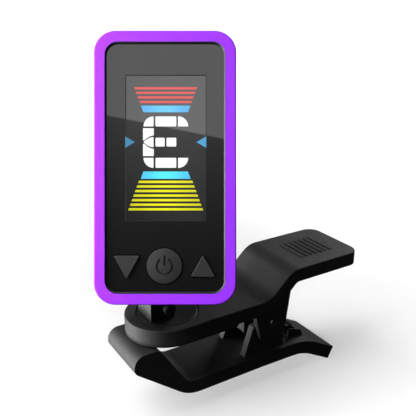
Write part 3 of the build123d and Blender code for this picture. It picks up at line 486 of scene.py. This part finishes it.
def arc(centre, radius, start, end, steps=14):
    """Points on an arc, angles in degrees."""
    points = []
    for step in range(steps + 1):
        angle = math.radians(start + (end - start) * step / steps)
        points.append((centre[0] + radius * math.cos(angle), centre[1] + radius * math.sin(angle)))
    return points


def plate(name, outlines, top, material, holes=()):
    """Thin plates on the head's face, one for each outline, less any holes."""
    bm = bmesh.new()
    for outline in outlines:
        edges = []
        for loop in (outline, *holes):
            corners = [bm.verts.new((x * MM, y * MM, 0)) for x, y in loop]
            edges += [bm.edges.new((corners[i - 1], corners[i])) for i in range(len(corners))]
        filled = bmesh.ops.triangle_fill(bm, use_beauty=True, use_dissolve=False, edges=edges)
        faces = [item for item in filled["geom"] if isinstance(item, bmesh.types.BMFace)]
        grown = bmesh.ops.extrude_face_region(bm, geom=faces)
        lower = [item for item in grown["geom"] if isinstance(item, bmesh.types.BMVert)]
        bmesh.ops.translate(bm, verts=lower, vec=(0, 0, -LAYER_THICK))
    bmesh.ops.recalc_face_normals(bm, faces=bm.faces)
    mesh = bpy.data.meshes.new(name)
    bm.to_mesh(mesh)
    bm.free()
    mesh.materials.append(material)
    mesh.transform(head_matrix(FACE + OUT * top))
    piece = add_object(name, mesh)
    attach(piece, "head")


def make_window():
    """The display's slightly lighter pane and a thin dark line round it, a painted shadow of the recess
    edge, wider on the left and top.
    """
    edge = box_outline(WINDOW_LEFT, WINDOW_LOW, WINDOW_RIGHT, WINDOW_HIGH)
    pane = softened(edge, WINDOW_CORNER)
    inner_edge = box_outline(
        WINDOW_LEFT + SHADOW_LINE_WIDE,
        WINDOW_LOW + SHADOW_LINE_NARROW,
        WINDOW_RIGHT - SHADOW_LINE_NARROW,
        WINDOW_HIGH - SHADOW_LINE_WIDE,
    )
    plate("display_window", [pane], PANE_PROUD, WINDOW)
    plate("display_gasket", [pane], SHADOW_LINE_PROUD, RECESS_SHADOW_BLACK, [softened(inner_edge, SHADOW_LINE_CORNER)])


def bar(top, height, half_top, half_low):
    """A bar across the display, with slanted ends."""
    low = top - height
    outline = [(-half_low, low), (half_low, low), (half_top, top), (-half_top, top)]
    return softened([(x + BAR_MIDDLE, y) for x, y in outline], BAR_CORNER)


def bar_stack(rows, first_top, first_half, widening, slant):
    """Thin bars one under the other, each wider or narrower than the last."""
    bars = []
    for row in range(rows):
        half = first_half + widening * row
        bars.append(bar(first_top - BAR_PITCH * row, BAR_HEIGHT, half, half + slant))
    return bars


def make_bars():
    """The bars above the letter narrow downwards and those below it widen downwards."""
    plate("display_red_bars", bar_stack(*RED_BARS), MARK_PROUD, RED)
    plate("display_blue_top", [bar(*UPPER_BAND)], MARK_PROUD, BLUE)
    plate("display_yellow_bars", bar_stack(*YELLOW_BARS), MARK_PROUD, YELLOW)
    plate("display_blue_low", [bar(*LOWER_BAND)], MARK_PROUD, CYAN)


def make_pointers():
    """Two triangles at the window's sides that point at the letter."""
    high, low = LETTER_MIDDLE + POINTER_HALF, LETTER_MIDDLE - POINTER_HALF
    left = [(WINDOW_LEFT, high), (WINDOW_LEFT, low), (POINTER_LEFT_TIP, LETTER_MIDDLE)]
    right = [(WINDOW_RIGHT, low), (WINDOW_RIGHT, high), (POINTER_RIGHT_TIP, LETTER_MIDDLE)]
    plate("display_pointer_left", [left], MARK_PROUD, POINTER_LEFT)
    plate("display_pointer_right", [right], MARK_PROUD, POINTER_RIGHT)


def mirrored(outline):
    """The outline turned over about the letter's middle height."""
    return [(x, 2 * LETTER_MIDDLE - y) for x, y in reversed(outline)]


def ogive(grow):
    """The upper edge of the pointed middle segment, from its tip to its right end."""
    points = []
    for step in range(OGIVE_STEPS + 1):
        t = step / OGIVE_STEPS
        rise = OGIVE_HALF * (1 - (1 - t) ** OGIVE_BLUNT) + grow * (0.5 + 0.5 * t)
        points.append((OGIVE_TIP + (CORNER_START - OGIVE_TIP) * t, LETTER_MIDDLE + rise))
    return points


def column_segment():
    """The upper half of the letter's upright, cut away round the pointed segment."""
    outline = [(LETTER_LEFT, STROKE_LOW - GAP), (LETTER_LEFT, LETTER_MIDDLE + OGIVE_TIP_GAP)]
    outline += ogive(2 * OGIVE_LINE)[1:]
    outline.append((COLUMN_RIGHT, LETTER_MIDDLE + OGIVE_HALF + 2 * OGIVE_LINE))
    outline.append((COLUMN_RIGHT, STROKE_LOW - GAP))
    return outline


def make_letter():
    """The note letter, in rounded segments with dark gaps between them."""
    left_centre = (CORNER_START, STROKE_LOW)
    right_centre = (BAR_END + GAP, STROKE_LOW)
    corner_left = arc(left_centre, STROKE, 90, 180) + [left_centre]
    corner_right = arc(right_centre, LETTER_RIGHT - BAR_END - GAP, 0, 90) + [right_centre]
    top_bar = softened(box_outline(BAR_START, STROKE_LOW, BAR_END, LETTER_TOP), SEGMENT_CORNER)
    segments = [corner_left, corner_right, top_bar, column_segment()]
    segments += [mirrored(outline) for outline in segments]
    tip = ogive(0.0)
    segments.append(tip + [(x, 2 * LETTER_MIDDLE - y) for x, y in reversed(tip[1:])])
    for start, end in ((BAR_START, CENTRE_SPLIT - GAP / 2), (CENTRE_SPLIT + GAP / 2, BAR_END)):
        outline = box_outline(start, LETTER_MIDDLE - CENTRE_HALF, end, LETTER_MIDDLE + CENTRE_HALF)
        segments.append(softened(outline, SEGMENT_CORNER))
    plate("display_letter", segments, MARK_PROUD, WHITE)


# ---------------------------------------------------------------- torsion spring
WIRE_RADIUS = 0.45 * MM
WIRE_SIDES = 16
WIRE_CHAMFER = 0.2 * WIRE_RADIUS
LEG_CLEARANCE = 1.1 * WIRE_RADIUS
COIL_RADIUS = 2.0 * MM
COIL_PITCH = 0.92 * MM
COIL_START = 40.0
COIL_TURN = 4 * 360 + 277.0
COIL_LENGTH = COIL_PITCH * COIL_TURN / 360
COIL_STEP = 10.0
UPPER_LEG = 14.6 * MM
LOWER_LEG = 10.6 * MM


def spring_path():
    """Middle line of the spring, from the end of its upper leg round the coil to its lower leg."""
    steps = round(COIL_TURN / COIL_STEP)
    coil = []
    for step in range(steps + 1):
        angle = math.radians(COIL_START + COIL_TURN * step / steps)
        round_pin = Vector((math.cos(angle), 0, -math.sin(angle))) * COIL_RADIUS
        coil.append(PIN + round_pin + Vector((0, COIL_LENGTH * (0.5 - step / steps), 0)))
    first = (coil[0] - coil[1]).normalized() * UPPER_LEG
    last = (coil[-1] - coil[-2]).normalized() * LOWER_LEG
    upper = [coil[0] + first * part for part in (1.0, 0.75, 0.5, 0.25)]
    lower = [coil[-1] + last * part for part in (0.25, 0.5, 0.75, 1.0)]
    return upper + coil + lower


def wire_ring(bm, centre, side, other, radius):
    """One ring of corners round the wire."""
    ring = []
    for corner in range(WIRE_SIDES):
        angle = 2 * math.pi * corner / WIRE_SIDES
        ring.append(bm.verts.new(centre + (side * math.cos(angle) + other * math.sin(angle)) * radius))
    return ring


def wire_rings(bm, path):
    """Rings along the path, with an extra smaller one at each end for the chamfer."""
    rings = []
    side = Vector((0, 1, 0))
    last = len(path) - 1
    for index, point in enumerate(path):
        forward = (path[min(index + 1, last)] - path[max(index - 1, 0)]).normalized()
        side = (side - forward * side.dot(forward)).normalized()
        other = forward.cross(side)
        cut = forward * WIRE_CHAMFER
        if index == 0:
            rings.append(wire_ring(bm, point, side, other, WIRE_RADIUS - WIRE_CHAMFER))
            rings.append(wire_ring(bm, point + cut, side, other, WIRE_RADIUS))
        elif index == last:
            rings.append(wire_ring(bm, point - cut, side, other, WIRE_RADIUS))
            rings.append(wire_ring(bm, point, side, other, WIRE_RADIUS - WIRE_CHAMFER))
        else:
            rings.append(wire_ring(bm, point, side, other, WIRE_RADIUS))
    return rings


def wire_mesh(name, path):
    """A round wire along a path, closed at both ends."""
    bm = bmesh.new()
    rings = wire_rings(bm, path)
    for near, far in zip(rings, rings[1:]):
        for corner in range(WIRE_SIDES):
            following = (corner + 1) % WIRE_SIDES
            bm.faces.new((near[corner], near[following], far[following], far[corner]))
    bm.faces.new(rings[0])
    bm.faces.new(rings[-1])
    bmesh.ops.recalc_face_normals(bm, faces=bm.faces)
    mesh = bpy.data.meshes.new(name)
    bm.to_mesh(mesh)
    bm.free()
    for face in mesh.polygons:
        face.use_smooth = len(face.vertices) == 4
    return mesh


def make_spring():
    """The spring as a wire whose coil winds up as the jaw opens, each leg following its own arm."""
    spring = add_object("spring_wire", wire_mesh("spring_wire", spring_path()))
    spring.data.materials.append(SPRING)
    # both legs lie outside this stretch of the coil, so each follows its arm alone
    half_coil = COIL_LENGTH / 2 - LEG_CLEARANCE
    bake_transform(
        spring,
        "clip_upper",
        "clip_lower",
        start=PIN + Vector((0, half_coil, 0)),
        end=PIN - Vector((0, half_coil, 0)),
    )
    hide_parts("torsion_spring")


# ---------------------------------------------------------------- camera
# from the turntable's middle, along the head's own axes
CAMERA_ACROSS = 9.136 * MM
CAMERA_UP = 22.743 * MM
CAMERA_OUT = 138.546 * MM
LENS_MM = 53.5
SENSOR_MM = 36.0
NEAREST_SEEN, FARTHEST_SEEN = 0.005, 20


def make_camera():
    """A camera that looks straight at the head's face. Gives its place."""
    data = bpy.data.cameras.new("camera")
    data.lens = LENS_MM
    data.sensor_width = SENSOR_MM
    data.clip_start = NEAREST_SEEN
    data.clip_end = FARTHEST_SEEN
    camera = add_object("camera", data)
    place = SWIVEL + ACROSS * CAMERA_ACROSS + UP * CAMERA_UP + OUT * CAMERA_OUT
    camera.matrix_world = head_matrix(place)
    bpy.context.scene.camera = camera
    return place


# ---------------------------------------------------------------- floor and world
FLOOR_HALF = 6.0
FLOOR_ALBEDO = 0.8
# the floor glows faintly near the object and fully far away, so that its edge doesn't show
FLOOR_GLOW = 0.14
FLOOR_NEAR = 0.06
FLOOR_FAR = 0.30
FLOOR_BOUNCE = 0.02
SKY_SEEN = 1.1
AMBIENT = 0.004


def seen_only(tree, seen, unseen):
    """Mix two shaders so that the camera sees the first and the object is lit by the second."""
    mix = tree.nodes.new("ShaderNodeMixShader")
    path = tree.nodes.new("ShaderNodeLightPath")
    tree.links.new(path.outputs["Is Camera Ray"], mix.inputs[0])
    tree.links.new(unseen, mix.inputs[1])
    tree.links.new(seen, mix.inputs[2])
    return mix.outputs[0]


def matt(tree, albedo):
    """A grey shader with no gloss."""
    node = tree.nodes.new("ShaderNodeBsdfDiffuse")
    node.inputs["Color"].default_value = (*grey(albedo), 1)
    return node.outputs[0]


def distance_glow(tree):
    """Glow that grows with distance from the object."""
    coords = tree.nodes.new("ShaderNodeTexCoord")
    distance = tree.nodes.new("ShaderNodeVectorMath")
    distance.operation = "LENGTH"
    tree.links.new(coords.outputs["Object"], distance.inputs[0])
    fade = tree.nodes.new("ShaderNodeMapRange")
    fade.interpolation_type = "SMOOTHSTEP"
    fade.inputs["From Min"].default_value = FLOOR_NEAR
    fade.inputs["From Max"].default_value = FLOOR_FAR
    fade.inputs["To Min"].default_value = FLOOR_GLOW
    fade.inputs["To Max"].default_value = 1.0
    tree.links.new(distance.outputs["Value"], fade.inputs["Value"])
    glow = tree.nodes.new("ShaderNodeEmission")
    tree.links.new(fade.outputs[0], glow.inputs["Strength"])
    return glow.outputs[0]


def floor_material():
    """White paper to the camera, and nearly black to the object, so that it hardly lights it."""
    material = bpy.data.materials.new("floor_white")
    material.use_nodes = True
    tree = material.node_tree
    tree.nodes.clear()
    both = tree.nodes.new("ShaderNodeAddShader")
    tree.links.new(matt(tree, FLOOR_ALBEDO), both.inputs[0])
    tree.links.new(distance_glow(tree), both.inputs[1])
    output = tree.nodes.new("ShaderNodeOutputMaterial")
    surface = seen_only(tree, both.outputs[0], matt(tree, FLOOR_BOUNCE))
    tree.links.new(surface, output.inputs[0])
    return material


def make_floor():
    """A wide pale floor under the object."""
    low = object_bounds()[0].z
    mesh = bpy.data.meshes.new("floor")
    corners = [(x, y, low) for x, y in box_outline(-FLOOR_HALF, -FLOOR_HALF, FLOOR_HALF, FLOOR_HALF)]
    mesh.from_pydata(corners, [], [(0, 1, 2, 3)])
    mesh.materials.append(floor_material())
    floor = add_object("floor", mesh)
    floor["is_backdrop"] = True
    return floor


def make_world():
    """White behind the object, and a low even light on it."""
    world = bpy.data.worlds.new("studio")
    world.use_nodes = True
    tree = world.node_tree
    white = tree.nodes["Background"]
    white.inputs[0].default_value = (1, 1, 1, 1)
    white.inputs[1].default_value = SKY_SEEN
    ambient = tree.nodes.new("ShaderNodeBackground")
    ambient.inputs[0].default_value = (1, 1, 1, 1)
    ambient.inputs[1].default_value = AMBIENT
    output = tree.nodes["World Output"]
    tree.links.new(seen_only(tree, white.outputs[0], ambient.outputs[0]), output.inputs[0])
    bpy.context.scene.world = world


# ---------------------------------------------------------------- cards
# Corners are slopes right and up from the camera. The two cards meet along a slanting line.
CARD_AWAY = 0.6
CARD_SIDE = 0.30
CARD_TOP = 0.9
CARD_FOOT = -0.16
MEET_LEFT = (-CARD_SIDE, 0.1775)
MEET_RIGHT = (CARD_SIDE, 0.0565)
BRIGHT_CARD = [MEET_LEFT, MEET_RIGHT, (CARD_SIDE, CARD_TOP), (-CARD_SIDE, CARD_TOP)]
DIM_CARD = [(-CARD_SIDE, CARD_FOOT), (CARD_SIDE, CARD_FOOT), MEET_RIGHT, MEET_LEFT]
BRIGHT_GLOW = (2.42, 2.42)
DIM_GLOW = (0.09, 0.95)
GLOW_POWER = 2.0


def card_material(name, low, high):
    """Glow that runs from low at the card's foot to high at its top."""
    material = bpy.data.materials.new(name)
    material.use_nodes = True
    tree = material.node_tree
    tree.nodes.clear()
    coords = tree.nodes.new("ShaderNodeTexCoord")
    parts = tree.nodes.new("ShaderNodeSeparateXYZ")
    tree.links.new(coords.outputs["Generated"], parts.inputs[0])
    ramp = tree.nodes.new("ShaderNodeMapRange")
    ramp.inputs["To Min"].default_value = low
    ramp.inputs["To Max"].default_value = high
    tree.links.new(math_node(material, "POWER", parts.outputs["Y"], GLOW_POWER), ramp.inputs["Value"])
    glow = tree.nodes.new("ShaderNodeEmission")
    tree.links.new(ramp.outputs[0], glow.inputs["Strength"])
    output = tree.nodes.new("ShaderNodeOutputMaterial")
    tree.links.new(glow.outputs[0], output.inputs[0])
    return material


def make_card(name, eye, corners, glow):
    """A glowing card behind the camera, seen only as a reflection in the glossy face."""
    reach = 2 * (eye - FACE).dot(OUT) + CARD_AWAY
    mesh = bpy.data.meshes.new(name)
    mesh.from_pydata([(right * reach, up * reach, 0.0) for right, up in corners], [], [(0, 1, 2, 3)])
    mesh.materials.append(card_material(name, *glow))
    card = add_object(name, mesh)
    card.matrix_world = head_matrix(eye + OUT * CARD_AWAY)
    card.visible_diffuse = False
    card.visible_shadow = False
    card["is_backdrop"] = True


# ---------------------------------------------------------------- lights
# metres across, up and out from the middle of the face, and watts
FACE_LIGHTS = {"face_near": (-0.08, 0.0, 0.02, 0.18), "face_high": (-0.10, 0.06, 0.06, 0.082)}
FACE_LIGHT_SIZE = (0.06, 0.08)
# azimuth from +X towards +Y, elevation, and watts
HEAD_LIGHTS = ((180, 48, 2.9), (190, 3, 0.3), (165, 3, 0.9), (130, 3, 1.0), (32, 25, 1.15))
CLIP_LIGHTS = (
    (180, 48, 3.8),
    (90, 78, 0.4),
    (178, 3, 0.4),
    (150, 2, 3.2),
    (150, -20, 5.0),
    (120, 3, 0.8),
    (32, 25, 0.75),
)
CLIP_AIM = Vector((0.01, 0, 0.02))
OBJECT_LIGHT_AWAY = 0.6
OBJECT_LIGHT_SIZE = (0.22, 0.22)
FLOOR_LIGHTS = (
    (240, 22, 9.8),
    (180, 62, 3.3),
    (180, 40, 2.2),
    (135, 62, 1.7),
    (0, 90, 1.5),
    (285, 8, 5.1),
    (150, 8, 2.7),
)
FLOOR_AIM = Vector((0.01, 0, 0))
FLOOR_LIGHT_AWAY = 1.0
FLOOR_LIGHT_SIZE = (0.45, 0.45)
HEAD_BODIES = ("stud", "head", "door", "key_down_body", "key_power_body", "key_up_body")


def heading(azimuth, elevation):
    """Unit direction for an azimuth and an elevation in degrees."""
    turn, rise = math.radians(azimuth), math.radians(elevation)
    return Vector((math.cos(rise) * math.cos(turn), math.cos(rise) * math.sin(turn), math.sin(rise)))


def softbox(name, place, aim, size, watts):
    """A rectangular studio light aimed at a point."""
    data = bpy.data.lights.new(name, "AREA")
    data.shape = "RECTANGLE"
    data.size, data.size_y = size
    data.energy = watts
    light = add_object(name, data)
    light.location = place
    light.rotation_mode = "QUATERNION"
    light.rotation_quaternion = (aim - place).to_track_quat("-Z", "Y")
    return light


def collection_of(name, items):
    """A collection that holds the items and isn't part of the scene."""
    collection = bpy.data.collections.new(name)
    for item in items:
        collection.objects.link(item)
    return collection


def only_on(light, targets, blockers=None):
    """Let a light fall on some objects only. All objects, or the blockers alone, cast shadows in it."""
    light.light_linking.receiver_collection = collection_of(f"{light.name}_lit", targets)
    if blockers is not None:
        light.light_linking.blocker_collection = collection_of(f"{light.name}_blockers", blockers)


def ring_of_lights(label, lights, aim, away, size):
    """Lights round a point, each as azimuth, elevation and watts."""
    made = []
    for number, (azimuth, elevation, watts) in enumerate(lights):
        place = aim + heading(azimuth, elevation) * away
        made.append(softbox(f"{label}_{number}", place, aim, size, watts))
    return made


def make_lights(floor):
    """Lights on the head, on the clip and on the floor, each leaving the others alone."""
    meshes = [item for item in bpy.data.objects if item.type == "MESH"]
    pieces = [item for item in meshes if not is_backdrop(item)]
    head_pieces = [piece for piece in pieces if body_of(piece)[0] in HEAD_BODIES]
    clip_pieces = [piece for piece in pieces if piece not in head_pieces]
    for name, (across, up, out, watts) in FACE_LIGHTS.items():
        place = FACE + ACROSS * across + UP * up + OUT * out
        only_on(softbox(name, place, FACE, FACE_LIGHT_SIZE, watts), head_pieces, pieces)
    for label, lights, targets in (
        ("head_light", HEAD_LIGHTS, head_pieces),
        ("clip_light", CLIP_LIGHTS, clip_pieces),
    ):
        for light in ring_of_lights(label, lights, CLIP_AIM, OBJECT_LIGHT_AWAY, OBJECT_LIGHT_SIZE):
            only_on(light, targets, pieces)
    for light in ring_of_lights("floor_sky", FLOOR_LIGHTS, FLOOR_AIM, FLOOR_LIGHT_AWAY, FLOOR_LIGHT_SIZE):
        only_on(light, [floor])


# ---------------------------------------------------------------- build
finish_cad_nodes()
make_window()
make_bars()
make_pointers()
make_letter()
make_spring()
eye = make_camera()
floor = make_floor()
make_world()
make_card("bright_card", eye, BRIGHT_CARD, BRIGHT_GLOW)
make_card("dim_card", eye, DIM_CARD, DIM_GLOW)
make_lights(floor)
bpy.context.scene.view_settings.view_transform = "Standard"
